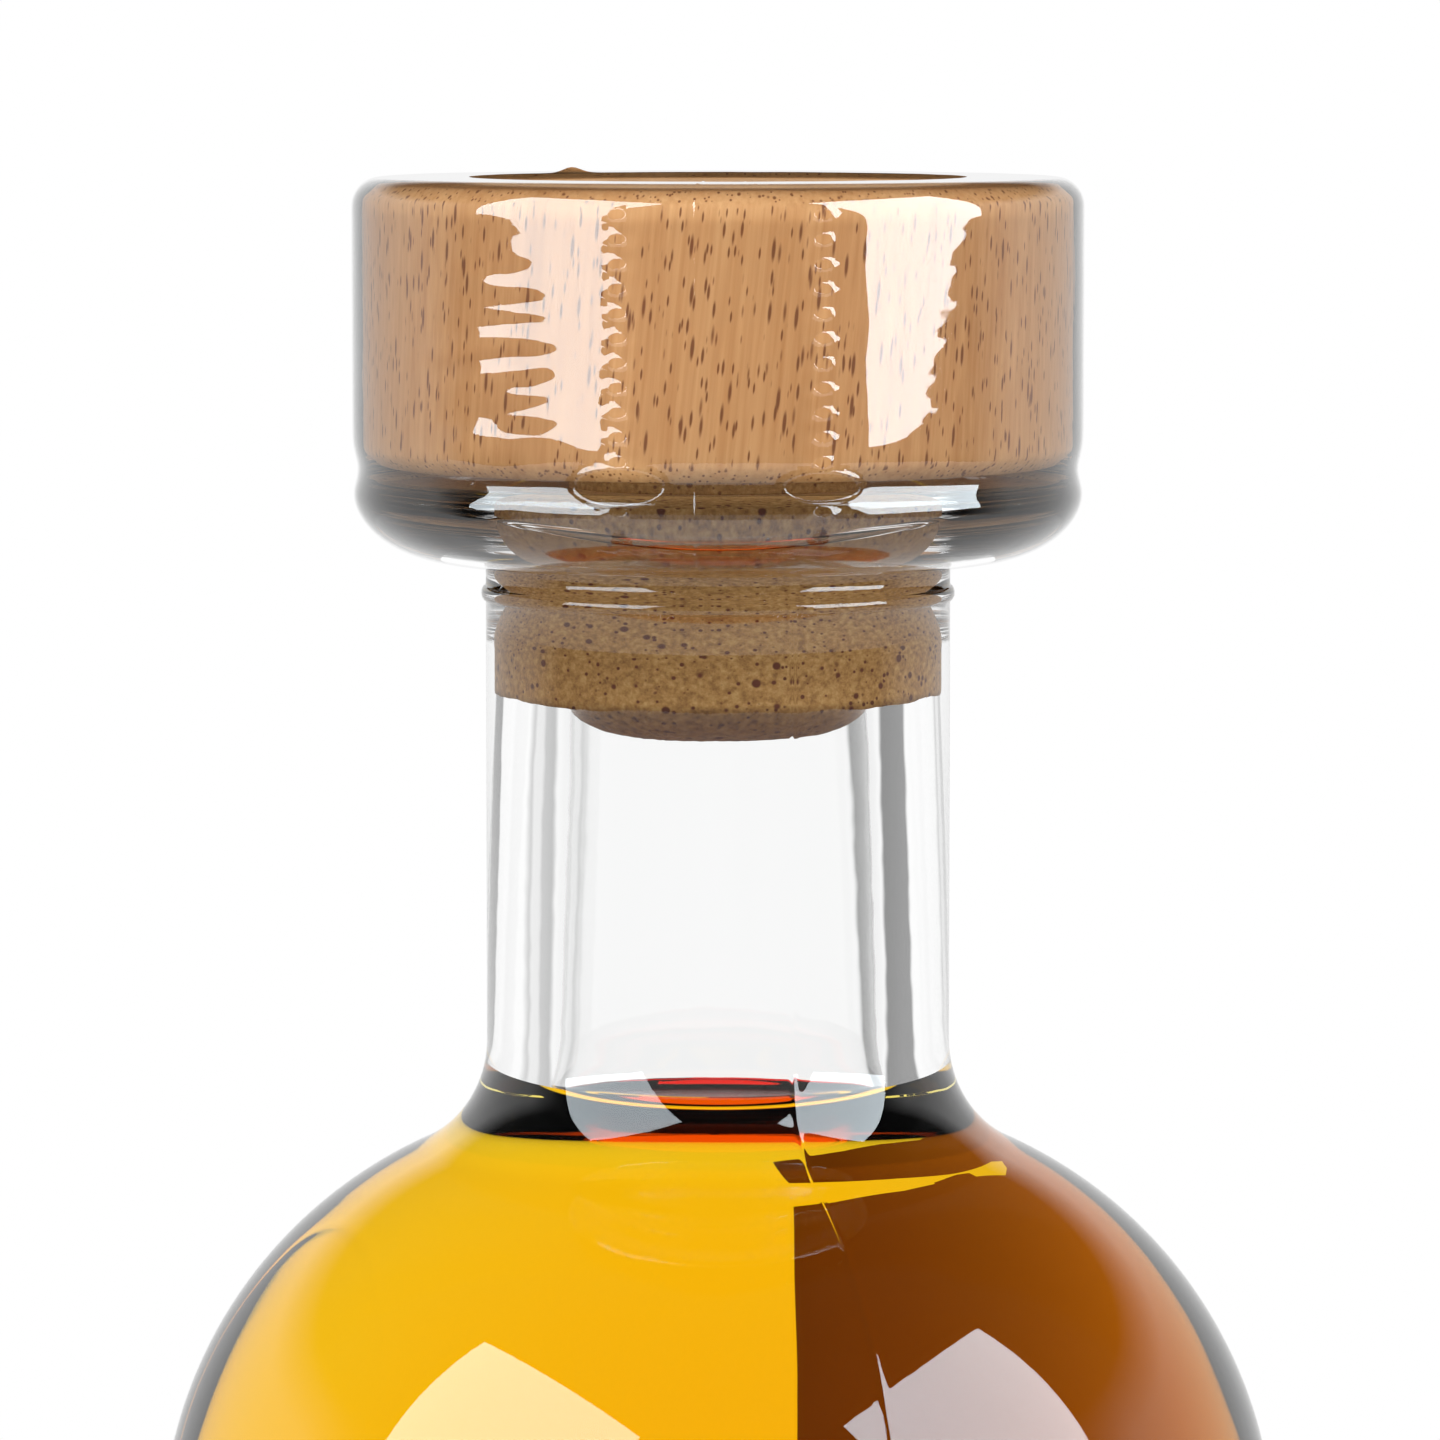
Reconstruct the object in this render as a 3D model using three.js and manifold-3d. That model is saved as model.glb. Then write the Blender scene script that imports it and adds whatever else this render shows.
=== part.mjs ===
// A round whisky bottle of clear glass, full to the foot of its neck, with a beech-headed cork
// stopper under a clear heat-shrunk sleeve. Millimetres, +Z up, origin at the middle of the base.
import * as THREE from 'three';
import { mergeVertices } from 'three/addons/utils/BufferGeometryUtils.js';
import Module from 'manifold-3d';

// Glass body and shoulder
const bodyRadius = 37.4;
const bodyHeight = 179.5; // from the table to the start of the shoulder
const shoulderRadius = 29.6;
const wall = 3.1;
const baseThickness = 8;
const puntHeight = 5;
const heelRadius = 4.5;
const standingRingWidth = 3.5;

// Glass neck
const neckRadius = 15.45;
const neckHeight = 32.5; // straight part, from the shoulder's fillet to the flange
const shoulderFillet = 8;
const boreRadius = 9.85; // where it grips the cork
const neckBoreRadius = 10.6; // what the bore widens to at the foot of the neck
const boreFlare = 12;
const mouthChamfer = 0.6;

// Parting ring, a low bead round the neck
const ringDrop = 2.6; // from the underside of the flange
const ringHeight = 1;
const ringProud = 0.3;

// Mouth flange
const flangeRadius = 23.85;
const flangeHeight = 5.2;
const flangeRounding = 0.8;
const undersideWidth = 6.4;
const undersideFillet = 1.2;

// Whisky
const fillHeight = 29.7; // above the start of the shoulder
const fillGap = 0.3;

// Stopper
const headRadius = 23.53;
const headHeight = 18.6;
const headLift = 0.75; // from the flange to the head
const headChamfer = 1;
const seatDepth = 6;
const corkReach = 17.1; // below the mouth
const corkBevelWidth = 2.2;
const corkBevelHeight = 2.5;
const corkGap = 0.3; // to the bore and to the seat in the head

// Shrink sleeve
const sleeveGap = 0.3;
const sleeveThickness = 0.25;
const sleeveOpening = 16.1;
const sleeveCorner = 1.5;
const rimLift = 0.3; // how far the free edge of the top curls up
const rimWidth = 1.6;
const sleeveEnd = 3; // how far outside the neck the sleeve stops

// Perforations: two rows of holes down the sleeve
const perforationRows = [
  { angle: -15.2, tornWidth: 5.8, tornHeight: 2.2 }, // degrees from the front; a hole is torn wide
  { angle: 15.9, tornWidth: 4.8, tornHeight: 1.7 }, // where the sleeve stretches over the gap
];
const perforationPitch = 1.57;
const perforationWidth = 1.1;
const perforationHeight = 0.62;

// Facets
const glassSegments = 48;
const headSegments = 60;
const corkSegments = 48;
const sleeveSegments = 60;
const holeSegments = 10;

const wasm = await Module();
wasm.setup();

// Heights that follow from the sizes above
const outerArcCentre = bodyRadius - shoulderRadius;
const outerFillet = neckFillet(shoulderRadius, neckRadius, shoulderFillet);
const innerFillet = neckFillet(shoulderRadius - wall, neckBoreRadius, boreFlare);
const flangeBottom = bodyHeight + outerFillet.y + neckHeight;
const mouthHeight = flangeBottom + flangeHeight;
const headBottom = mouthHeight + headLift;
const headTop = headBottom + headHeight;
const seatRadius = boreRadius;
const corkRadius = boreRadius - corkGap;
const boreGrip = corkReach - corkBevelHeight; // depth of the bore's straight part

// Centre of the circle that rounds a neck of a given radius into the shoulder's arc,
// measured up from the start of the shoulder.
function neckFillet(arcRadius, radius, fillet) {
  const x = radius + fillet;
  const reach = arcRadius + fillet;
  return { x, y: Math.sqrt(reach ** 2 - (x - outerArcCentre) ** 2), fillet, reach, arcRadius };
}

// Points on an arc of an ellipse, with both ends. Angles are in degrees.
function arc(x, y, radiusX, radiusY, start, end, steps) {
  const points = [];
  for (let i = 0; i <= steps; i += 1) {
    const angle = THREE.MathUtils.degToRad(start + ((end - start) * i) / steps);
    points.push(new THREE.Vector2(x + radiusX * Math.cos(angle), y + radiusY * Math.sin(angle)));
  }
  return points;
}

function at(x, y) {
  return new THREE.Vector2(x, y);
}

// Shoulder from the body up to the straight neck: the big arc, then the fillet.
function shoulder(fillet, base, arcSteps, filletSteps) {
  const turn = THREE.MathUtils.radToDeg(Math.atan2(fillet.y, fillet.x - outerArcCentre));
  return [
    ...arc(outerArcCentre, base, fillet.arcRadius, fillet.arcRadius, 0, turn, arcSteps),
    ...arc(fillet.x, base + fillet.y, fillet.fillet, fillet.fillet, 180 + turn, 180, filletSteps).slice(1),
  ];
}

// A solid of revolution round Z from a profile of radius and height.
function turned(profile, segments) {
  const geometry = new THREE.LatheGeometry(profile, segments);
  geometry.rotateX(Math.PI / 2);
  return geometry;
}

function merged(geometry) {
  const copy = geometry.clone();
  copy.deleteAttribute('normal');
  copy.deleteAttribute('uv');
  return mergeVertices(copy, 1e-4);
}

function solidOf(geometry) {
  const closed = merged(geometry);
  return new wasm.Manifold(
    new wasm.Mesh({
      numProp: 3,
      vertProperties: new Float32Array(closed.attributes.position.array),
      triVerts: new Uint32Array(closed.index.array),
    }),
  );
}

function geometryOf(solid) {
  const mesh = solid.getMesh();
  const geometry = new THREE.BufferGeometry();
  geometry.setAttribute('position', new THREE.BufferAttribute(new Float32Array(mesh.vertProperties), 3));
  geometry.setIndex(new THREE.BufferAttribute(new Uint32Array(mesh.triVerts), 1));
  geometry.computeVertexNormals();
  return geometry;
}

function piece(name, geometry, material) {
  const mesh = new THREE.Mesh(geometry, new THREE.MeshStandardMaterial(material));
  mesh.name = name;
  return mesh;
}

// Low bead round the neck, where the halves of the finish mould meet the blank.
function partingRing() {
  const middle = flangeBottom - ringDrop;
  return arc(neckRadius, middle, ringProud, ringHeight / 2, -90, 90, 4);
}

// Flange from its underside fillet round to the mouth, and the straight bore that grips the cork.
function flangeProfile() {
  const shelf = flangeRadius - undersideWidth;
  const rise = flangeHeight - flangeRounding;
  const roundingStart = mouthHeight - flangeRounding;
  const fillet = undersideFillet;
  return [
    ...arc(neckRadius + fillet, flangeBottom - fillet, fillet, fillet, 180, 90, 3),
    ...arc(shelf, roundingStart, undersideWidth, rise, -90, 0, 7),
    ...arc(flangeRadius - flangeRounding, roundingStart, flangeRounding, flangeRounding, 0, 90, 3).slice(1),
    at(boreRadius + mouthChamfer, mouthHeight),
    at(boreRadius, mouthHeight - mouthChamfer),
    at(boreRadius, mouthHeight - boreGrip),
  ];
}

// Low dome from the axis out to its rim.
function dome(radius, base, rise, steps) {
  const points = [];
  for (let i = 0; i <= steps; i += 1) {
    const share = i / steps;
    points.push(at(radius * share, base + rise * (1 - share ** 2)));
  }
  return points;
}

// Inside of the base: the rounded corner, then a floor that follows the punt.
function innerFloor() {
  const corner = heelRadius;
  const flat = bodyRadius - wall - corner;
  return [
    ...arc(flat, baseThickness + corner, corner, corner, 0, -90, 3),
    ...dome(flat, baseThickness, puntHeight / 2, 4).reverse().slice(1),
  ];
}

function glassBottle() {
  const ringOuter = bodyRadius - heelRadius;
  const profile = [
    ...dome(ringOuter - standingRingWidth, 0, puntHeight, 4),
    ...arc(ringOuter, heelRadius, heelRadius, heelRadius, -90, 0, 4),
    ...shoulder(outerFillet, bodyHeight, 10, 5),
    ...partingRing(),
    ...flangeProfile(),
    ...shoulder(innerFillet, bodyHeight, 8, 5).reverse(),
    ...innerFloor(),
  ];
  return turned(profile, glassSegments);
}

// Liquid as far up as the fill, a gap inside the glass.
function whiskyFill() {
  const top = fillHeight;
  const inner = shoulder(innerFillet, 0, 8, 8).filter((point) => point.y < top);
  const drop = Math.min(1, (top - innerFillet.y) / boreFlare);
  const topRadius = innerFillet.x - boreFlare * Math.cos(Math.asin(drop)) - fillGap;
  const floor = innerFloor();
  const profile = [
    at(0, floor[floor.length - 1].y + fillGap),
    ...floor.slice(0, -1).reverse().map((point) => at(point.x - fillGap, point.y + fillGap)),
    ...inner.map((point) => at(point.x - fillGap, point.y + bodyHeight)),
    at(topRadius, bodyHeight + top),
    at(0, bodyHeight + top),
  ];
  return turned(profile, glassSegments);
}

function woodenHead() {
  const edge = headRadius - headChamfer;
  const profile = [
    at(0, headBottom + seatDepth),
    at(seatRadius, headBottom + seatDepth),
    at(seatRadius, headBottom),
    at(edge, headBottom),
    at(headRadius, headBottom + headChamfer),
    at(headRadius, headTop - headChamfer),
    at(edge, headTop),
    at(0, headTop),
  ];
  return turned(profile, headSegments);
}

function corkPlug() {
  const bottom = mouthHeight - corkReach;
  const top = headBottom + seatDepth - corkGap;
  const profile = [
    at(0, bottom),
    at(corkRadius - corkBevelWidth, bottom),
    at(corkRadius, bottom + corkBevelHeight),
    at(corkRadius, top),
    at(0, top),
  ];
  return turned(profile, corkSegments);
}

// One face of the sleeve, set off outward from the pieces under it: from the free edge of the top,
// over the corner, down the side and round the flange to the end near the neck.
function sleeveFace(offset) {
  const side = Math.max(headRadius, flangeRadius) + offset;
  const top = headTop + offset;
  const corner = sleeveCorner + offset;
  const shelf = flangeRadius - undersideWidth;
  const roundingStart = mouthHeight - flangeRounding;
  const width = undersideWidth + offset;
  const rise = flangeHeight - flangeRounding + offset;
  const endAngle = -THREE.MathUtils.radToDeg(Math.acos((neckRadius + sleeveEnd - shelf) / width));
  return [
    at(sleeveOpening, top + rimLift),
    at(sleeveOpening + rimWidth, top),
    ...arc(side - corner, top - corner, corner, corner, 90, 0, 4),
    ...arc(shelf, roundingStart, width, rise, 0, endAngle, 6),
  ];
}

// Prism that cuts one hole through the front of the sleeve.
function holeCutter(angle, height, width, tall) {
  const outline = new THREE.Shape(arc(0, 0, width / 2, tall / 2, 0, 360, holeSegments).slice(0, -1));
  const side = Math.max(headRadius, flangeRadius);
  const cutter = new THREE.ExtrudeGeometry(outline, { depth: side, bevelEnabled: false, steps: 1 });
  cutter.rotateX(Math.PI / 2);
  cutter.translate(0, -side / 2, height);
  cutter.rotateZ(THREE.MathUtils.degToRad(angle));
  return solidOf(cutter);
}

function perforations() {
  const gapMiddle = (mouthHeight + headBottom) / 2;
  const lowest = flangeBottom + undersideFillet;
  const highest = headTop - sleeveCorner;
  const cutters = [];
  for (const row of perforationRows) {
    for (let height = highest; height > lowest; height -= perforationPitch) {
      const torn = Math.abs(height - gapMiddle) < perforationPitch / 2;
      const width = torn ? row.tornWidth : perforationWidth;
      const tall = torn ? row.tornHeight : perforationHeight;
      cutters.push(holeCutter(row.angle, height, width, tall));
    }
  }
  return cutters;
}

function shrinkSleeve() {
  const inside = sleeveFace(sleeveGap);
  const outside = sleeveFace(sleeveGap + sleeveThickness);
  const skin = turned([...outside, ...inside.reverse(), outside[0].clone()].reverse(), sleeveSegments);
  return geometryOf(solidOf(skin).subtract(wasm.Manifold.union(perforations())));
}

const bottle = new THREE.Group();
bottle.add(
  piece('glass_bottle', glassBottle(), {
    color: 0xeef3f2,
    roughness: 0.03,
    metalness: 0,
    transparent: true,
    opacity: 0.35,
  }),
  piece('whisky', whiskyFill(), { color: 0xe08a0a, roughness: 0.05, metalness: 0 }),
  piece('wooden_head', woodenHead(), { color: 0xc8935c, roughness: 0.55, metalness: 0 }),
  piece('cork_plug', corkPlug(), { color: 0xa9784a, roughness: 0.85, metalness: 0 }),
  piece('shrink_sleeve', shrinkSleeve(), {
    color: 0xf4f6f8,
    roughness: 0.15,
    metalness: 0,
    transparent: true,
    opacity: 0.3,
  }),
);

export default bottle;
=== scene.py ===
import math

import bmesh
import bpy
import numpy as np
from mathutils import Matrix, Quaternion, Vector, noise
from mathutils.geometry import delaunay_2d_cdt


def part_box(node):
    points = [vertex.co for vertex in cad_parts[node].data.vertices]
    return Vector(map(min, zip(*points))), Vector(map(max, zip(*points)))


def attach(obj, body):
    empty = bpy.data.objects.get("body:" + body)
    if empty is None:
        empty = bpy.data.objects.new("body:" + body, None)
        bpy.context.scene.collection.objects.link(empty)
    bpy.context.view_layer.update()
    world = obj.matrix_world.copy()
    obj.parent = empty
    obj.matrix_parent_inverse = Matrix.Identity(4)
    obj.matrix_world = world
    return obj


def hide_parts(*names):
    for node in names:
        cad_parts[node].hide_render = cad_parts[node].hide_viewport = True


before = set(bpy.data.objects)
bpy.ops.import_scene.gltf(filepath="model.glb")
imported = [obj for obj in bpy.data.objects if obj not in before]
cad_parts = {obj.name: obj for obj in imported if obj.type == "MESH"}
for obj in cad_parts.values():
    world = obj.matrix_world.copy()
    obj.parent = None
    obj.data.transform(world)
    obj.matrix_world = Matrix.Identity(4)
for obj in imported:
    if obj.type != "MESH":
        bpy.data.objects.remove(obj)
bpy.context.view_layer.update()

MM = 0.001

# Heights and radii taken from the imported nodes, in millimetres
GLASS_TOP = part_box("glass_bottle")[1].z / MM
BODY_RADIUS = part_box("glass_bottle")[1].x / MM
HEAD_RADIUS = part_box("wooden_head")[1].x / MM
HEAD_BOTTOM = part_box("wooden_head")[0].z / MM
HEAD_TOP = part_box("wooden_head")[1].z / MM
CORK_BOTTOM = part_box("cork_plug")[0].z / MM
FILL_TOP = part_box("whisky")[1].z / MM
SLEEVE_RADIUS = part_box("shrink_sleeve")[1].x / MM

# Glass, in millimetres
SHOULDER_RADIUS = 29.6
WALL = 3.1
BASE_THICKNESS = 8.0
PUNT_HEIGHT = 5.0
HEEL_RADIUS = 4.5
STANDING_RING = 3.5
NECK_RADIUS = 15.45
NECK_HEIGHT = 32.5
SHOULDER_FILLET = 8.0
BORE_RADIUS = 9.85  # where it grips the cork
NECK_BORE_RADIUS = 10.6
BORE_FLARE = 12.0
MOUTH_CHAMFER = 0.6
RING_DROP = 2.6
RING_HEIGHT = 1.0
RING_PROUD = 0.3
FLANGE_RADIUS = 23.85
FLANGE_HEIGHT = 5.2
FLANGE_ROUNDING = 0.8
UNDERSIDE_WIDTH = 6.4
UNDERSIDE_FILLET = 1.2
SEAM_ANGLE = 18.5  # degrees from the front to the mould seam
SEAM_PROUD = (0.04, 0.008)  # front and back
BOTTLE_TURNS = 192  # facets round the glass and the whisky, which have to match

# Whisky
MENISCUS_RISE = 1.9
MENISCUS_REACH = 1.7
WETTING_GAP = 0.02  # between the whisky's mesh and the wall that it wets

# Stopper
HEAD_CHAMFER = 1.0
CORK_FLAT = 4.5  # radius of the flat of its end, inside the worn bevel
CORK_BEVEL_HEIGHT = 2.5
CORK_PRESS = 0.05  # how far the cork is pressed into the bore wall

# Shrink sleeve
SLEEVE_OPENING = 16.1
SLEEVE_CORNER = 1.5
SLEEVE_END = 3.0
FILM_GAP = 0.42  # from the pieces under it to the middle of the film
CREASE_ANGLE = -41.0  # creases lie round this angle from the front
CREASE_SPREAD = 11.0
CREASE_DEPTH = 0.11
WAIST_DEPTH = 0.35  # where the film shrinks in over the gap
LAP_EDGES = ((-3.3, 0.05), (6.1, 0.02))  # angle from the front and height of each edge of the lap
LAP_WIDTH = 0.12
LAP_STEPS = (-3, -2, -1.4, -0.8, 0, 0.8, 1.4, 2, 3)  # extra columns, in lap widths
RIM_STEPS = (0.0, 0.035, 0.08, 0.16)  # rings of points round a hole, in millimetres from its edge
HOLES_WITHIN = 12  # no hole lies further round the film than this
LIP_PROUD = 0.055
TORN_LIP = 2.4  # how much thicker the melted rim of a torn hole is
PEAK_ANGLE = -143.0  # the free edge of the top stands up here
PEAK_LIFT = 0.4
PERFORATION_PITCH = 1.57
PERFORATION_WIDTH = 1.1
PERFORATION_HEIGHT = 0.62
# Each row's angle from the front, and the width and height of its torn hole
PERFORATION_ROWS = ((-15.2, 5.8, 2.2), (15.9, 4.8, 1.7))

# Camera, in pixels of the photograph unless named otherwise
PHOTO_PIXELS = 1440
FOCAL_PIXELS = 7640
HORIZON_ROW = 25
AXIS_COLUMN = 718
PIXELS_PER_MM = 15.0
EYE_RISE = 101.66  # the eye above the start of the shoulder, in millimetres

# Set: lengths in millimetres, bearings in degrees from straight behind the bottle
FLOOR_RADIUS = 850
CARD_HEIGHT = 2
# Outline of the brown card behind the bottle to the left, from its corner nearest straight behind
CARD_OUTLINE = (
    (-19, 280), (-30, 270), (-47, 243), (-62, 208), (-78, 180), (-78, 150), (-80, 110), (-85, 60),
    (-160, 0), (-620, -200), (-700, 200), (-450, 640), (-32, 560),
)
SIDE_CARD = (100, 700, 60, 125)  # inner and outer radius, first and last bearing
SIDE_TONE = (0.42, 0.2, 0.1)
CARD_TONES = (
    (-62, (0.6, 0.42, 0.28)), (-46, (0.48, 0.24, 0.1)), (-35, (0.4, 0.17, 0.06)),
    (-27, (0.31, 0.13, 0.04)), (-15, (0.19, 0.08, 0.02)), (-9, (0.14, 0.055, 0.01)),
    (-3, (0.1, 0.04, 0.01)),
)
GLOW_TINT = (0.84, 0.94, 1.0)
LAMP_DISTANCE = 0.9  # metres from the mouth
LAMP_LIGHT = 0.9  # radiance of the half that lights the object
GLOW_AHEAD = 0.02  # how far the mirrored half stands before the other, in metres
# Each lamp's azimuth from the camera, elevation, roll, width, height and mirrored radiance
LAMPS = (
    ("softbox_left", -54, 23.4, 11, 0.78, 0.84, 8.5),
    ("softbox_right", 65, 22.8, -8, 0.75, 0.83, 11.0),
)
# What the glass lets through, what lights the object and what it mirrors, as (bearing, brightness)
THROUGH_STOPS = (
    (-180, 0.85), (-100, 0.8), (-75, 0.9), (-58, 1.0), (-54, 0.55), (-45, 0.6), (-42, 0.85),
    (-35, 0.85), (-32, 0.6), (-25, 1.0), (25, 1.0), (28, 0.26), (54, 0.26), (57, 1.0), (75, 0.9),
    (100, 0.8), (180, 0.85),
)
LIGHT_STOPS = ((-180, 2.8), (-130, 1.6), (-95, 0.4), (95, 0.4), (130, 1.6), (180, 2.8))
HIGH_MIRRORED = 0.03  # mirrored brightness overhead
MIRRORED_STOPS = ((-180, 0.03), (-95, 0.05), (-75, 0.9), (75, 0.9), (95, 0.05), (180, 0.03))

FLANGE_BOTTOM = GLASS_TOP - FLANGE_HEIGHT
ARC_CENTRE = BODY_RADIUS - SHOULDER_RADIUS


def fillet_centre(arc_radius, radius, fillet):
    """Centre of the circle that rounds the neck into the shoulder, up from the shoulder's start."""
    x = radius + fillet
    return x, math.sqrt((arc_radius + fillet) ** 2 - (x - ARC_CENTRE) ** 2)


OUTER_X, OUTER_Y = fillet_centre(SHOULDER_RADIUS, NECK_RADIUS, SHOULDER_FILLET)
INNER_X, INNER_Y = fillet_centre(SHOULDER_RADIUS - WALL, NECK_BORE_RADIUS, BORE_FLARE)
BODY_HEIGHT = FLANGE_BOTTOM - NECK_HEIGHT - OUTER_Y
GRIP_END = CORK_BOTTOM + CORK_BEVEL_HEIGHT  # below it the bore widens
NECK_FOOT = BODY_HEIGHT + INNER_Y


# Meshes

def arc(x, y, radius_x, radius_y, start, end, steps):
    """Points on an arc of an ellipse, both ends included; angles in degrees."""
    angles = np.radians(np.linspace(start, end, steps + 1))
    return [(x + radius_x * math.cos(a), y + radius_y * math.sin(a)) for a in angles]


def line(start, end, steps):
    """Points on a straight line, without its first point."""
    (x0, y0), (x1, y1) = start, end
    return [(x0 + (x1 - x0) * t, y0 + (y1 - y0) * t) for t in np.linspace(0, 1, steps + 1)[1:]]


def shoulder(arc_radius, x, y, fillet, base, arc_steps, fillet_steps):
    """The big arc from the body up, then the fillet into the neck."""
    turn = math.degrees(math.atan2(y, x - ARC_CENTRE))
    big = arc(ARC_CENTRE, base, arc_radius, arc_radius, 0, turn, arc_steps)
    return big + arc(x, base + y, fillet, fillet, 180 + turn, 180, fillet_steps)[1:]


def lathe(name, profile, angles, shift=None, slots=None):
    """A turned mesh from (radius, height) points in millimetres that start and end on the axis.

    shift(point index, angle, radius, height) gives new radius and height arrays over the angles.
    slots(radius, height) gives the material slot of the band above a profile point.
    """
    inner = profile[1:-1]
    count = len(angles)
    coords = [(0.0, 0.0, profile[0][1])]
    cos, sin = np.sin(angles), -np.cos(angles)
    for index, (radius, height) in enumerate(inner):
        radii = np.full(count, radius)
        heights = np.full(count, height)
        if shift:
            radii, heights = shift(index, angles, radii, heights)
        coords += list(zip(radii * cos, radii * sin, heights))
    coords.append((0.0, 0.0, profile[-1][1]))
    faces, marks = [], []
    last = len(coords) - 1
    for i in range(count):
        j = (i + 1) % count
        faces.append((0, 1 + j, 1 + i))
        marks.append(slots(*inner[0]) if slots else 0)
        for k in range(len(inner) - 1):
            low, high = 1 + k * count, 1 + (k + 1) * count
            faces.append((low + i, low + j, high + j, high + i))
            marks.append(slots(*inner[k]) if slots else 0)
        top = 1 + (len(inner) - 1) * count
        faces.append((top + i, top + j, last))
        marks.append(slots(*inner[-1]) if slots else 0)
    return solid(name, coords, faces, marks)


def solid(name, coords, faces, marks=None, smooth=True):
    """A mesh object from points in millimetres."""
    mesh = bpy.data.meshes.new(name)
    mesh.from_pydata([tuple(v * MM for v in c) for c in coords], [], faces)
    if marks:
        mesh.polygons.foreach_set("material_index", marks)
    mesh.polygons.foreach_set("use_smooth", [smooth] * len(mesh.polygons))
    mesh.validate()
    mesh.update()
    made = bpy.data.objects.new(name, mesh)
    bpy.context.scene.collection.objects.link(made)
    return made


def ripple(x, y, z, size):
    """Smooth noise between about -1 and 1 at a point, with features of one size."""
    return noise.noise(Vector((x, y, z)) / size)


def even_angles(count, extra=()):
    """Angles round the axis from the front, with extra ones near places that need them."""
    angles = list(np.linspace(-math.pi, math.pi, count, endpoint=False))
    for centre in extra:
        near = np.radians(np.array([-1.2, -0.8, -0.5, -0.3, -0.15, 0, 0.15, 0.3, 0.5, 0.8, 1.2]))
        angles = [a for a in angles if abs(a - math.radians(centre)) > math.radians(1.3)]
        angles += list(near + math.radians(centre))
    return np.array(sorted(angles))


def dress(obj, node, slot, *materials):
    """Hangs materials on a piece that stands for a CAD node, and sets it on its body."""
    for material in materials:
        obj.data.materials.append(material)
    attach(obj, "root")
    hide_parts(node)
    return obj


# Glass bottle

def underside_and_flange():
    shelf = FLANGE_RADIUS - UNDERSIDE_WIDTH
    rise = FLANGE_HEIGHT - FLANGE_ROUNDING
    edge = GLASS_TOP - FLANGE_ROUNDING
    rounding = FLANGE_ROUNDING
    fillet = UNDERSIDE_FILLET
    chamfer = MOUTH_CHAMFER
    bore_edge = BORE_RADIUS + chamfer
    return (
        arc(NECK_RADIUS + fillet, FLANGE_BOTTOM - fillet, fillet, fillet, 180, 90, 8)
        + arc(shelf, edge, UNDERSIDE_WIDTH, rise, -90, 0, 28)
        + arc(FLANGE_RADIUS - rounding, edge, rounding, rounding, 0, 90, 10)[1:]
        + line((FLANGE_RADIUS - rounding, GLASS_TOP), (bore_edge, GLASS_TOP), 10)
        + arc(bore_edge, GLASS_TOP - chamfer, chamfer, chamfer, 90, 180, 6)[1:]
    )


def outer_glass():
    ring_outer = BODY_RADIUS - HEEL_RADIUS
    ring_inner = ring_outer - STANDING_RING
    neck_start = BODY_HEIGHT + OUTER_Y
    ring_middle = FLANGE_BOTTOM - RING_DROP
    points = [(0.0, PUNT_HEIGHT)]
    points += [(ring_inner * t, PUNT_HEIGHT * (1 - t ** 2)) for t in np.linspace(0, 1, 13)[1:-1]]
    points += [(ring_inner, 0.0)]
    points += arc(ring_outer, HEEL_RADIUS, HEEL_RADIUS, HEEL_RADIUS, -90, 0, 10)
    points += line((BODY_RADIUS, HEEL_RADIUS), (BODY_RADIUS, BODY_HEIGHT), 12)[:-1]
    points += shoulder(SHOULDER_RADIUS, OUTER_X, OUTER_Y, SHOULDER_FILLET, BODY_HEIGHT, 48, 20)
    points += line((NECK_RADIUS, neck_start), (NECK_RADIUS, ring_middle - RING_HEIGHT / 2), 10)
    points += arc(NECK_RADIUS, ring_middle, RING_PROUD, RING_HEIGHT / 2, -90, 90, 10)[1:]
    return points + underside_and_flange()


def inner_wall_points():
    """The inside of the glass from the bore down to the body, then the floor."""
    inner_radius = BODY_RADIUS - WALL
    bore = line((BORE_RADIUS, GLASS_TOP - MOUTH_CHAMFER), (BORE_RADIUS, GRIP_END), 30)
    bore += line((BORE_RADIUS, GRIP_END), (NECK_BORE_RADIUS, NECK_FOOT), 90)
    curve = shoulder(SHOULDER_RADIUS - WALL, INNER_X, INNER_Y, BORE_FLARE, BODY_HEIGHT, 44, 30)
    body = line((inner_radius, BODY_HEIGHT), (inner_radius, BASE_THICKNESS + HEEL_RADIUS), 36)
    return bore[:-1] + curve[::-1] + body[:-1] + floor_points()


def floor_points():
    corner_x = BODY_RADIUS - WALL - HEEL_RADIUS
    corner = arc(corner_x, BASE_THICKNESS + HEEL_RADIUS, HEEL_RADIUS, HEEL_RADIUS, 0, -90, 10)
    rise = PUNT_HEIGHT / 2
    dome = [(corner_x * t, BASE_THICKNESS + rise * (1 - t ** 2)) for t in np.linspace(1, 0, 13)[1:]]
    return corner + dome


def uneven_wall(radius, height, angle):
    """How far the blown inside of the glass strays from true, in millimetres."""
    x, y = math.sin(angle) * radius, -math.cos(angle) * radius
    slow = ripple(x, y, height / 4, 6.0)
    fine = ripple(x, y, height, 1.3)
    free = min(max((GRIP_END - height) / 4, 0), 1)
    return free * (0.06 * slow + 0.006 * fine)


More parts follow.
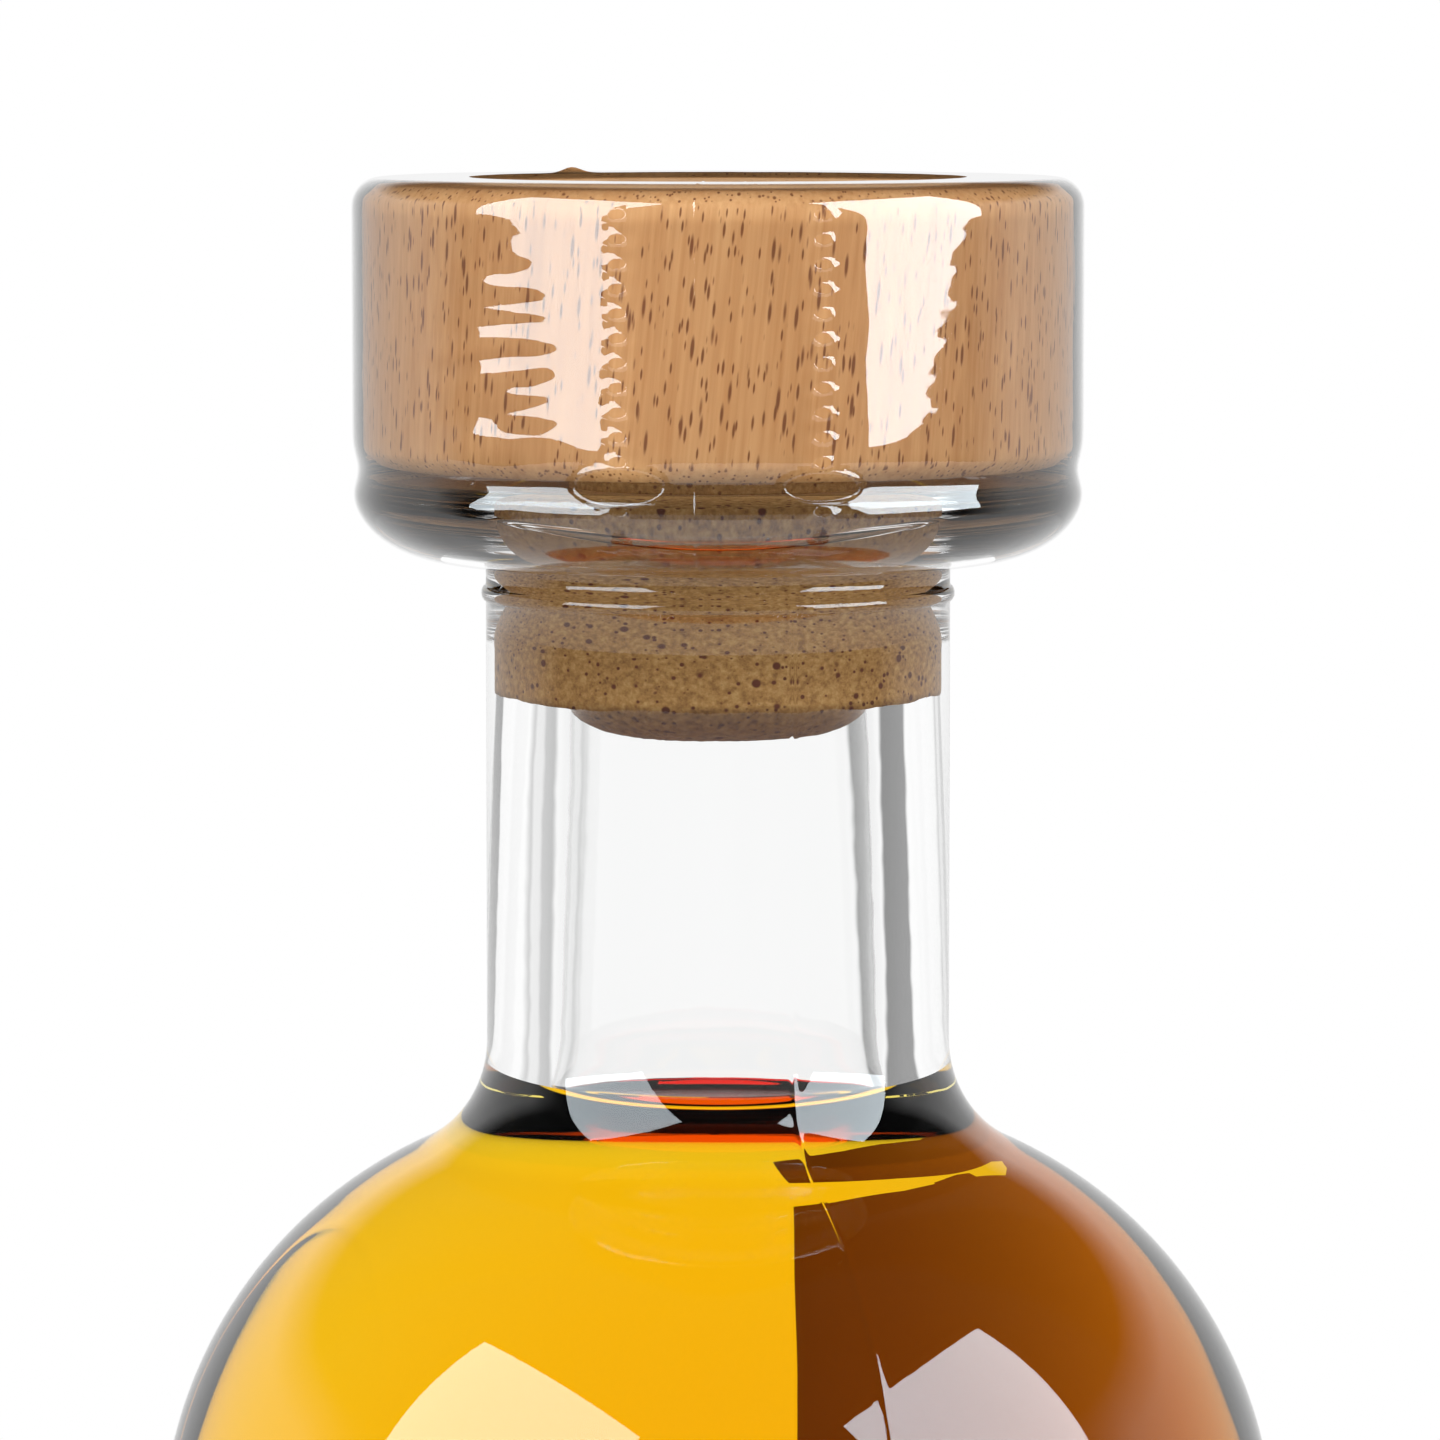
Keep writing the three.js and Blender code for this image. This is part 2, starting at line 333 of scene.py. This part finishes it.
def glass_bottle():
    outer = outer_glass()
    inner = inner_wall_points()
    angles = even_angles(BOTTLE_TURNS, (SEAM_ANGLE, SEAM_ANGLE - 180))
    seams = np.radians([SEAM_ANGLE, SEAM_ANGLE - 180])
    seam_top = FLANGE_BOTTOM - RING_DROP - 1.0
    outer_count = len(outer) - 1
    contact = FILL_TOP + MENISCUS_RISE

    def shift(index, turns, radii, heights):
        height = heights[0]
        if index < outer_count:
            if HEEL_RADIUS < height < seam_top:
                for seam, proud in zip(seams, SEAM_PROUD):
                    bump = np.exp(-(((turns - seam) * radii) / 0.16) ** 2)
                    radii = radii + proud * bump
            return radii, heights
        if BASE_THICKNESS + HEEL_RADIUS < height < GLASS_TOP - 1:
            radii = radii + np.array([uneven_wall(radii[0], height, a) for a in turns])
        return radii, heights

    def slots(radius, height):
        inside = radius < inner_radius_at(height) + 0.2 and height > BASE_THICKNESS - 0.1
        return 1 if inside and height < contact and height < GLASS_TOP - 10 else 0

    return lathe("bottle_glass", outer + inner, angles, shift, slots)


def inner_radius_at(height):
    """Radius of the inside of the glass at a height."""
    up = height - BODY_HEIGHT
    arc_radius = SHOULDER_RADIUS - WALL
    touch = INNER_Y * arc_radius / (arc_radius + BORE_FLARE)
    if up <= 0:
        return BODY_RADIUS - WALL
    if up < touch:
        return ARC_CENTRE + math.sqrt(arc_radius ** 2 - up ** 2)
    if up < INNER_Y:
        return INNER_X - math.sqrt(BORE_FLARE ** 2 - (up - INNER_Y) ** 2)
    share = min((height - NECK_FOOT) / (GRIP_END - NECK_FOOT), 1)
    return NECK_BORE_RADIUS + (BORE_RADIUS - NECK_BORE_RADIUS) * share


# Whisky

def whisky_fill():
    contact = FILL_TOP + MENISCUS_RISE
    floor = floor_points()[::-1]
    low = BASE_THICKNESS + HEEL_RADIUS
    walls = [p for p in inner_wall_points() if low < p[1] < contact - 0.05][::-1]
    edge = inner_radius_at(contact)
    profile = [(0.0, floor[0][1] + WETTING_GAP)]
    profile += [(r - WETTING_GAP, z + WETTING_GAP) for r, z in floor[1:]]
    profile += [(r - WETTING_GAP, z) for r, z in walls]
    side_count = len(profile)
    profile += [(edge - WETTING_GAP, contact)]
    steps = [0.08, 0.2, 0.4, 0.7, 1.0, 1.4, 1.9, 2.5, 3.2, 4.1, 5.2, 6.6, 8.2]
    profile += [
        (edge - WETTING_GAP - d, FILL_TOP + MENISCUS_RISE * math.exp(-d / MENISCUS_REACH))
        for d in steps
    ]
    profile += [(0.0, FILL_TOP)]
    angles = even_angles(BOTTLE_TURNS, (SEAM_ANGLE, SEAM_ANGLE - 180))

    def shift(index, turns, radii, heights):
        height = heights[0]
        if index < side_count and BASE_THICKNESS + HEEL_RADIUS < height:
            radii = radii + np.array([uneven_wall(radii[0], height, a) for a in turns])
        return radii, heights

    def slots(radius, height):
        return 0 if height >= FILL_TOP and radius <= edge - WETTING_GAP + 1e-6 else 1

    return lathe("whisky_liquid", profile, angles, shift, slots)


# Materials

def new_material(name):
    material = bpy.data.materials.new(name)
    material.use_nodes = True
    tree = material.node_tree
    tree.nodes.clear()
    return material, Tree(tree)


class Tree:
    """Short names for adding and joining shader nodes."""

    def __init__(self, tree):
        self.tree = tree

    def add(self, kind, inputs=None, **settings):
        node = self.tree.nodes.new(kind)
        for key, value in settings.items():
            setattr(node, key, value)
        for key, value in (inputs or {}).items():
            if isinstance(value, bpy.types.NodeSocket):
                self.tree.links.new(value, node.inputs[key])
            else:
                node.inputs[key].default_value = value
        return node

    def math(self, operation, a, b=0.0, clamp=False):
        return self.add("ShaderNodeMath", {0: a, 1: b}, operation=operation, use_clamp=clamp).outputs[0]

    def ramp(self, value, stops):
        """A colour ramp from (position, colour) stops."""
        node = self.add("ShaderNodeValToRGB", {0: value})
        elements = node.color_ramp.elements
        elements[0].position, elements[1].position = stops[0][0], stops[-1][0]
        elements[0].color, elements[1].color = (*stops[0][1], 1), (*stops[-1][1], 1)
        for position, colour in stops[1:-1]:
            elements.new(position).color = (*colour, 1)
        return node.outputs[0]

    def mix(self, factor, a, b, blend="MIX"):
        node = self.add("ShaderNodeMix", data_type="RGBA", blend_type=blend)
        for socket, value in ((node.inputs[0], factor), (node.inputs[6], a), (node.inputs[7], b)):
            if isinstance(value, bpy.types.NodeSocket):
                self.tree.links.new(value, socket)
            elif isinstance(value, tuple):
                socket.default_value = (*value, 1)
            else:
                socket.default_value = value
        return node.outputs[2]

    def place(self, scale, rotation=(0, 0, 0)):
        """Object coordinates in metres, turned by degrees and scaled."""
        coords = self.add("ShaderNodeTexCoord").outputs["Object"]
        turned = self.add(
            "ShaderNodeMapping",
            {0: coords, 2: tuple(math.radians(a) for a in rotation)},
        ).outputs[0]
        return self.add("ShaderNodeMapping", {0: turned, 3: scale}).outputs[0]

    def noise(self, vector, scale=1.0, detail=3.0, roughness=0.5, distortion=0.0):
        return self.add(
            "ShaderNodeTexNoise",
            {
                "Vector": vector,
                "Scale": scale,
                "Detail": detail,
                "Roughness": roughness,
                "Distortion": distortion,
            },
        ).outputs[0]

    def out(self, surface, volume=None):
        node = self.add("ShaderNodeOutputMaterial", {"Surface": surface})
        if volume:
            self.tree.links.new(volume, node.inputs["Volume"])


GLASS_IOR = 1.5
WHISKY_IOR = 1.36


def clear_glass():
    material, tree = new_material("clear_flint_glass")
    bsdf = tree.add(
        "ShaderNodeBsdfPrincipled",
        {
            "Base Color": (0.997, 0.999, 0.998, 1),
            "Roughness": 0.0,
            "IOR": GLASS_IOR,
            "Transmission Weight": 1.0,
        },
    )
    tree.out(bsdf.outputs[0])
    return material


def wetted_glass():
    """The inside of the glass where the whisky wets it, so it bends light only a little."""
    material, tree = new_material("wetted_glass_wall")
    bsdf = tree.add(
        "ShaderNodeBsdfPrincipled",
        {
            "Base Color": (1, 1, 1, 1),
            "Roughness": 0.0,
            "IOR": GLASS_IOR / WHISKY_IOR,
            "Transmission Weight": 1.0,
        },
    )
    tree.out(bsdf.outputs[0])
    return material


def whisky(name, ior):
    material, tree = new_material(name)
    bsdf = tree.add(
        "ShaderNodeBsdfPrincipled",
        {
            "Base Color": (1, 1, 1, 1),
            "Roughness": 0.0,
            "IOR": ior,
            "Transmission Weight": 1.0,
        },
    )
    amber = (0.997, 0.886, 0.0, 1)
    volume = tree.add("ShaderNodeVolumeAbsorption", {"Color": amber, "Density": 100.0})
    tree.out(bsdf.outputs[0], volume.outputs[0])
    return material


def beech():
    material, tree = new_material("turned_beech")
    lean = (0, -6, 0)
    fibre = tree.noise(tree.place((2600, 2600, 70), lean), 1.0, 3, 0.6)
    rings = tree.noise(tree.place((260, 60, 12), lean), 1.0, 2, 0.5, 0.3)
    tone = tree.ramp(
        rings,
        [(0.3, (0.47, 0.24, 0.088)), (0.5, (0.56, 0.305, 0.125)), (0.7, (0.62, 0.365, 0.165))],
    )
    grain = tree.ramp(fibre, [(0.3, (0.42, 0.20, 0.07)), (0.7, (0.68, 0.42, 0.20))])
    tone = tree.mix(0.4, tone, grain)
    for size in ((1400, 1400, 230), (1900, 1900, 330), (2500, 2500, 480)):
        cells = tree.add(
            "ShaderNodeTexVoronoi", {"Vector": tree.place(size, lean), "Scale": 1.0}, feature="F1"
        )
        fleck = tree.ramp(cells.outputs[0], [(0.12, (1, 1, 1)), (0.22, (0, 0, 0))])
        tone = tree.mix(fleck, tone, (0.21, 0.085, 0.035))
    bump = tree.add("ShaderNodeBump", {"Strength": 0.2, "Distance": 0.0001, "Height": fibre})
    bsdf = tree.add(
        "ShaderNodeBsdfPrincipled",
        {
            "Base Color": tone,
            "Roughness": 0.6,
            "Specular IOR Level": 0.15,
            "Normal": bump.outputs[0],
        },
    )
    tree.out(bsdf.outputs[0])
    return material


def agglomerated_cork():
    material, tree = new_material("agglomerated_cork")
    spot = tree.place((1, 1, 1))
    fine = tree.noise(spot, 2200.0, 4, 0.7)
    colour = tree.ramp(
        fine,
        [(0.3, (0.24, 0.11, 0.035)), (0.5, (0.46, 0.24, 0.07)), (0.7, (0.62, 0.38, 0.14))],
    )
    for size, low, high in ((950.0, 0.24, 0.34), (1900.0, 0.24, 0.36)):
        crumbs = tree.add("ShaderNodeTexVoronoi", {"Vector": spot, "Scale": size}, feature="F1")
        chance = tree.add("ShaderNodeSeparateColor", {0: crumbs.outputs[1]}).outputs[0]
        near = tree.math("ADD", crumbs.outputs[0], tree.math("MULTIPLY", chance, 0.3))
        speck = tree.ramp(near, [(low, (1, 1, 1)), (high, (0, 0, 0))])
        colour = tree.mix(speck, colour, (0.13, 0.035, 0.014))
    # The cork's colour is made darker towards its bottom end, over the bevel
    height = tree.add("ShaderNodeSeparateXYZ", {0: spot}).outputs[2]
    above = tree.math("SUBTRACT", height, CORK_BOTTOM * MM)
    rise_over_bevel = tree.math("DIVIDE", above, 1.1 * CORK_BEVEL_HEIGHT * MM)
    darker_at_end = tree.ramp(rise_over_bevel, [(0.75, (0.42, 0.36, 0.32)), (1.0, (1, 1, 1))])
    colour = tree.mix(1.0, colour, darker_at_end, "MULTIPLY")
    bump = tree.add("ShaderNodeBump", {"Strength": 0.4, "Distance": 0.0002, "Height": fine})
    bsdf = tree.add(
        "ShaderNodeBsdfPrincipled",
        {"Base Color": colour, "Roughness": 0.8, "Normal": bump.outputs[0]},
    )
    tree.out(bsdf.outputs[0])
    return material


def clear_film():
    material, tree = new_material("clear_shrink_film")
    fresnel = tree.add("ShaderNodeFresnel", {"IOR": 1.5})
    share = tree.math("MULTIPLY", fresnel.outputs[0], 1.4, clamp=True)
    through = tree.add("ShaderNodeBsdfTransparent", {"Color": (0.985, 0.985, 0.985, 1)})
    gloss = tree.add("ShaderNodeBsdfGlossy", {"Color": (1, 1, 1, 1), "Roughness": 0.02})
    both = tree.add("ShaderNodeMixShader", {0: share, 1: through.outputs[0], 2: gloss.outputs[0]})
    tree.out(both.outputs[0])
    return material


# Stopper

def wooden_head():
    edge = HEAD_RADIUS - HEAD_CHAMFER
    soft = 0.25
    profile = [(0.0, HEAD_BOTTOM)]
    profile += line((2.0, HEAD_BOTTOM), (edge - soft, HEAD_BOTTOM), 12)
    profile += [(edge, HEAD_BOTTOM + 0.08), (HEAD_RADIUS - 0.1, HEAD_BOTTOM + HEAD_CHAMFER - 0.12)]
    side_start = (HEAD_RADIUS, HEAD_BOTTOM + HEAD_CHAMFER + 0.15)
    side_end = (HEAD_RADIUS, HEAD_TOP - HEAD_CHAMFER - 0.15)
    profile += [side_start] + line(side_start, side_end, 24)
    profile += [(HEAD_RADIUS - 0.1, HEAD_TOP - HEAD_CHAMFER + 0.12), (edge, HEAD_TOP - 0.08)]
    profile += line((edge - soft, HEAD_TOP), (2.0, HEAD_TOP), 12)
    profile += [(0.0, HEAD_TOP)]
    return lathe("beech_head", profile, even_angles(192))


def cork_plug():
    radius = BORE_RADIUS + CORK_PRESS
    bend = radius - CORK_FLAT
    profile = [(0.0, CORK_BOTTOM)]
    profile += line((1.0, CORK_BOTTOM), (CORK_FLAT, CORK_BOTTOM), 8)
    profile += arc(CORK_FLAT, GRIP_END, bend, CORK_BEVEL_HEIGHT, -90, 0, 18)[1:]
    profile += line((radius, GRIP_END), (radius, HEAD_BOTTOM), 40)
    profile += [(0.0, HEAD_BOTTOM)]

    def shift(index, turns, radii, heights):
        height = heights[0]
        crumbled = min(max((GRIP_END - height) / 0.5, 0), 1)
        settled = max(1 - abs(height - GRIP_END) / 2, 0)
        places = [(math.sin(a) * radii[0], math.cos(a) * radii[0], height) for a in turns]
        rough = np.array([ripple(*p, 0.7) + 0.5 for p in places])
        waved = np.array([ripple(x, y, 0, 3.0) for x, y, _ in places])
        return radii, heights + 0.1 * crumbled * rough + 0.3 * settled * waved

    return lathe("cork_shank", profile, even_angles(192), shift)


# Shrink sleeve

def sleeve_profile():
    """The middle of the film from the free edge of the top down to its end, as (radius, height)."""
    side = max(HEAD_RADIUS, FLANGE_RADIUS) + FILM_GAP
    top = HEAD_TOP + FILM_GAP
    corner = SLEEVE_CORNER + FILM_GAP
    shelf = FLANGE_RADIUS - UNDERSIDE_WIDTH
    edge = GLASS_TOP - FLANGE_ROUNDING
    width = UNDERSIDE_WIDTH + FILM_GAP
    rise = FLANGE_HEIGHT - FLANGE_ROUNDING + FILM_GAP
    end = -math.degrees(math.acos((NECK_RADIUS + SLEEVE_END - shelf) / width))
    points = line((SLEEVE_OPENING - 0.001, top), (side - corner, top), 16)
    points += arc(side - corner, top - corner, corner, corner, 90, 0, 10)[1:]
    points += line((side, top - corner), (side, edge), 40)
    points += arc(shelf, edge, width, rise, 0, end, 24)[1:]
    return points


def sleeve_holes(to_arc):
    """Centre, half width and half height of each hole on the film laid flat, in millimetres."""
    gap_middle = (GLASS_TOP + HEAD_BOTTOM) / 2
    holes = []
    for angle, torn_width, torn_height in PERFORATION_ROWS:
        height = HEAD_TOP - SLEEVE_CORNER
        while height > FLANGE_BOTTOM + UNDERSIDE_FILLET:
            torn = abs(height - gap_middle) < PERFORATION_PITCH / 2
            width, tall = PERFORATION_WIDTH, PERFORATION_HEIGHT
            if torn:
                width, tall = torn_width, torn_height
            around = math.radians(angle) * SLEEVE_RADIUS
            holes.append((around, to_arc(height), width / 2, tall / 2))
            height -= PERFORATION_PITCH
    return holes


def film_push(angle, height):
    """How far the film stands off its even shape at a place, outward, in millimetres."""
    x, y = math.sin(angle) * SLEEVE_RADIUS, -math.cos(angle) * SLEEVE_RADIUS
    push = 0.012 * ripple(x, y, height, 3.2) + 0.0035 * ripple(x, y, height, 0.8)
    turn = math.degrees(angle)
    beside = math.exp(-(((turn - CREASE_ANGLE) / CREASE_SPREAD) ** 2))
    down = min(max((HEAD_TOP - 1 - height) / 9, 0.12), 1)
    push += CREASE_DEPTH * beside * down * ripple(x / 6, y / 6, height, 1.1)
    waist = (height - (GLASS_TOP + HEAD_BOTTOM) / 2 - 0.1) / 1.2
    push -= WAIST_DEPTH * math.exp(-waist ** 2)
    for edge, proud in LAP_EDGES:
        away = (turn - edge) * math.radians(SLEEVE_RADIUS) / LAP_WIDTH
        push += proud * math.exp(-away ** 2)
    return push


def shrink_sleeve():
    profile = np.array(sleeve_profile())
    along = np.concatenate([[0], np.cumsum(np.hypot(*np.diff(profile, axis=0).T))])
    length = along[-1]
    side_start = int(np.argmax(profile[:, 0]))

    def to_arc(height):
        return float(np.interp(-height, -profile[side_start:, 1], along[side_start:]))

    half = math.pi * SLEEVE_RADIUS
    holes = sleeve_holes(to_arc)

    def outside(u, v, margin):
        reach = [
            math.hypot((u - hu) / (w + margin), (v - hv) / (h + margin)) for hu, hv, w, h in holes
        ]
        return min(reach) > 1

    columns = list(np.linspace(-half, half, 301))
    for edge, _ in LAP_EDGES:
        lap = math.radians(edge) * SLEEVE_RADIUS
        columns = [u for u in columns if abs(u - lap) > 0.45]
        columns += [lap + step * LAP_WIDTH for step in LAP_STEPS]
    columns = sorted(columns)
    points = []
    for v in np.linspace(0, length, 128):
        for u in columns:
            near_holes = abs(u) < HOLES_WITHIN
            if not near_holes or outside(u, v, 0.4):
                points.append((u, v))
    edges = []
    for hu, hv, w, h in holes:
        rim, thick = (20, 1) if w < 1 else (64, TORN_LIP)
        for margin in (step * thick for step in RIM_STEPS):
            start = len(points)
            for turn in np.linspace(0, 2 * math.pi, rim, endpoint=False):
                points.append((hu + (w + margin) * math.cos(turn), hv + (h + margin) * math.sin(turn)))
            if margin == 0.0:
                edges += [(start + i, start + (i + 1) % rim) for i in range(rim)]
    flat, _, triangles = delaunay_2d_cdt([Vector(p) for p in points], edges, [], 0, 1e-5)[:3]

    def in_hole(triangle):
        u = sum(flat[i][0] for i in triangle) / 3
        v = sum(flat[i][1] for i in triangle) / 3
        return abs(u) < HOLES_WITHIN and not outside(u, v, -0.003)

    def lip(u, v):
        """Height of the melted rim round the holes at a point."""
        rise = 0.0
        for hu, hv, w, h in holes:
            if abs(u - hu) < w + 0.4 and abs(v - hv) < h + 0.4:
                thick = 1 if w < 1 else TORN_LIP
                away = (math.hypot((u - hu) / w, (v - hv) / h) - 1) * min(w, h) / thick
                rise = max(rise, LIP_PROUD * thick * math.exp(-(((away - 0.035) / 0.055) ** 2)))
        return rise

    coords = []
    for u, v in flat:
        spot, before, after = (
            np.array([np.interp(v + step, along, profile[:, k]) for k in (0, 1)])
            for step in (0, -0.05, 0.05)
        )
        tangent = (after - before) / np.linalg.norm(after - before)
        angle = u / SLEEVE_RADIUS
        push = film_push(angle, spot[1]) + lip(u, v)
        radius, height = spot + push * np.array([-tangent[1], tangent[0]])
        peak = math.exp(-(((abs(math.degrees(angle) - PEAK_ANGLE)) / 3.5) ** 2))
        height += PEAK_LIFT * peak * math.exp(-v / 0.8)
        coords.append((radius * math.sin(angle), -radius * math.cos(angle), height))
    sleeve = solid("film_sleeve", coords, [tuple(t) for t in triangles if not in_hole(t)])
    weld(sleeve)
    return sleeve


def weld(obj):
    """Joins the sleeve's two upright edges at the back."""
    mesh = bmesh.new()
    mesh.from_mesh(obj.data)
    bmesh.ops.remove_doubles(mesh, verts=mesh.verts, dist=0.005 * MM)
    bmesh.ops.recalc_face_normals(mesh, faces=mesh.faces)
    mesh.to_mesh(obj.data)
    mesh.free()


# Set, lamps and camera

def stage_piece(name, coords, faces, material, camera=True):
    """A piece of the set, which is no part of the bottle."""
    made = solid(name, coords, faces, smooth=False)
    made.data.materials.append(material)
    made.visible_camera = camera
    return made


def ring_sector(inner, outer, start, end, height, steps):
    """Points and faces of a flat ring sector; bearings in degrees from straight behind the bottle."""
    coords, faces = [], []
    for bearing in np.radians(np.linspace(start, end, steps + 1)):
        for radius in (inner, outer):
            coords.append((radius * math.sin(bearing), radius * math.cos(bearing), height))
    for i in range(steps):
        faces.append((2 * i, 2 * i + 1, 2 * i + 3, 2 * i + 2))
    return coords, faces


def bearing_share(tree, vector):
    """Bearing from straight behind the bottle, as a share of a turn; 0.5 is straight behind."""
    way = tree.add("ShaderNodeSeparateXYZ", {0: vector})
    turn = tree.math("ARCTAN2", way.outputs[0], way.outputs[1])
    return tree.math("ADD", tree.math("DIVIDE", turn, 2 * math.pi), 0.5)


def by_bearing(tree, share, stops):
    """A grey that follows the bearing, from (degrees, value) stops."""
    return tree.ramp(share, [(0.5 + degrees / 360, (value,) * 3) for degrees, value in stops])


def floor_material():
    """A pale floor: it takes the shadow near the bottle, and is plain white further out."""
    material, tree = new_material("pale_floor")
    path = tree.add("ShaderNodeLightPath")
    through = tree.math("MAXIMUM", path.outputs["Is Transmission Ray"], path.outputs["Is Reflection Ray"])
    spot = tree.add("ShaderNodeTexCoord").outputs["Object"]
    away = tree.add("ShaderNodeVectorMath", {0: spot}, operation="LENGTH").outputs["Value"]
    far = tree.ramp(tree.math("DIVIDE", away, FLOOR_RADIUS * MM), [(0.3, (0, 0, 0)), (0.9, (1, 1, 1))])
    clear = tree.math("MULTIPLY", far, path.outputs["Is Camera Ray"])
    seen = tree.math("MAXIMUM", through, clear)
    plain = tree.add("ShaderNodeBsdfDiffuse", {"Color": (0.8, 0.8, 0.8, 1)})
    white = tree.add("ShaderNodeEmission", {"Color": (1, 1, 1, 1), "Strength": 1.0})
    both = tree.add("ShaderNodeMixShader", {0: seen, 1: plain.outputs[0], 2: white.outputs[0]})
    tree.out(both.outputs[0])
    return material


def card_material(name, stops):
    """Brown card that shows only through the glass and the whisky; stops are (bearing, colour)."""
    material, tree = new_material(name)
    path = tree.add("ShaderNodeLightPath")
    share = bearing_share(tree, tree.add("ShaderNodeTexCoord").outputs["Object"])
    tone = tree.ramp(share, [(0.5 + degrees / 360, colour) for degrees, colour in stops])
    brown = tree.add("ShaderNodeEmission", {"Color": tone, "Strength": 1.0})
    clear = tree.add("ShaderNodeBsdfTransparent")
    both = tree.add(
        "ShaderNodeMixShader",
        {0: path.outputs["Is Transmission Ray"], 1: clear.outputs[0], 2: brown.outputs[0]},
    )
    tree.out(both.outputs[0])
    return material


def softbox(name, azimuth, elevation, roll, width, height, glow):
    """A pair of area lamps in one direction from the mouth; azimuth 0 is the camera's side.

    A positive roll leans the lamp's top to the left, as the lamp is seen from the bottle.

    One of them lights the object, and the other shows in its reflections.
    """
    target = Vector((0, 0, GLASS_TOP * MM))
    a, e = math.radians(azimuth), math.radians(elevation)
    way = Vector((math.sin(a) * math.cos(e), -math.cos(a) * math.cos(e), math.sin(e)))
    for part, radiance in (("light", LAMP_LIGHT), ("glow", glow)):
        lamp = bpy.data.lights.new(f"{name}_{part}", "AREA")
        lamp.shape = "RECTANGLE"
        lamp.size, lamp.size_y = width, height
        lamp.energy = radiance * math.pi * width * height
        lamp.color = GLOW_TINT if part == "glow" else (1, 1, 1)
        made = bpy.data.objects.new(f"{name}_{part}", lamp)
        made.location = target + way * (LAMP_DISTANCE - (GLOW_AHEAD if part == "glow" else 0))
        lean = Quaternion((0, 0, 1), math.radians(-roll))
        made.rotation_euler = (way.to_track_quat("Z", "Y") @ lean).to_euler()
        lamp.cycles.use_multiple_importance_sampling = part == "glow"
        made.visible_transmission = False
        made.visible_diffuse = part == "light"
        made.visible_glossy = part == "glow"
        bpy.context.scene.collection.objects.link(made)


def white_world():
    world = bpy.data.worlds.new("white_room")
    bpy.context.scene.world = world
    world.use_nodes = True
    tree = Tree(world.node_tree)
    tree.tree.nodes.clear()
    path = tree.add("ShaderNodeLightPath")
    share = bearing_share(tree, tree.add("ShaderNodeTexCoord").outputs["Generated"])
    through = by_bearing(tree, share, THROUGH_STOPS)
    way = tree.add("ShaderNodeTexCoord").outputs["Generated"]
    rise = tree.add("ShaderNodeSeparateXYZ", {0: way}).outputs[2]
    high = tree.ramp(rise, [(0.3, (0, 0, 0)), (0.45, (1, 1, 1))])
    mirrored = tree.mix(high, by_bearing(tree, share, MIRRORED_STOPS), (HIGH_MIRRORED,) * 3)
    seen = tree.mix(path.outputs["Is Transmission Ray"], mirrored, through)
    seen = tree.mix(path.outputs["Is Diffuse Ray"], seen, by_bearing(tree, share, LIGHT_STOPS))
    seen = tree.mix(path.outputs["Is Camera Ray"], seen, (1.0, 1.0, 1.0))
    sky = tree.add("ShaderNodeBackground", {"Color": seen, "Strength": 1.0})
    tree.tree.links.new(sky.outputs[0], tree.add("ShaderNodeOutputWorld").inputs[0])


def camera():
    """The photograph's view: long lens, a little above the stopper, pitched down slightly."""
    pitch = math.atan((PHOTO_PIXELS / 2 - HORIZON_ROW) / FOCAL_PIXELS)
    depth = FOCAL_PIXELS / PIXELS_PER_MM
    side = (PHOTO_PIXELS / 2 - AXIS_COLUMN) / PIXELS_PER_MM
    data = bpy.data.cameras.new("camera")
    data.sensor_width = 36
    data.lens = FOCAL_PIXELS / PHOTO_PIXELS * data.sensor_width
    data.clip_start = 0.01
    data.clip_end = 20
    made = bpy.data.objects.new("camera", data)
    made.location = (side * MM, -depth * math.cos(pitch) * MM, (BODY_HEIGHT + EYE_RISE) * MM)
    made.rotation_euler = (math.pi / 2 - pitch, 0, 0)
    bpy.context.scene.collection.objects.link(made)
    bpy.context.scene.camera = made


camera()
white_world()
for lamp in LAMPS:
    softbox(*lamp)
stage_piece("floor", *ring_sector(0, FLOOR_RADIUS, -180, 180, 0, 64), floor_material())
stage_piece(
    "brown_card",
    [(x, y, CARD_HEIGHT) for x, y in CARD_OUTLINE],
    [tuple(range(len(CARD_OUTLINE)))],
    card_material("brown_card", CARD_TONES),
    camera=False,
)
inner, outer, first, last = SIDE_CARD
stage_piece(
    "side_card",
    *ring_sector(inner, outer, first, last, CARD_HEIGHT, 16),
    card_material("side_card", ((first, SIDE_TONE), (last, SIDE_TONE))),
    camera=False,
)

dress(glass_bottle(), "glass_bottle", "glass", clear_glass(), wetted_glass())
dress(
    whisky_fill(),
    "whisky",
    "whisky",
    whisky("whisky_surface", WHISKY_IOR),
    whisky("whisky_at_glass", 1.0),
)
dress(wooden_head(), "wooden_head", "beech", beech())
dress(cork_plug(), "cork_plug", "cork", agglomerated_cork())
dress(shrink_sleeve(), "shrink_sleeve", "film", clear_film())

bpy.context.scene.view_settings.view_transform = "Standard"
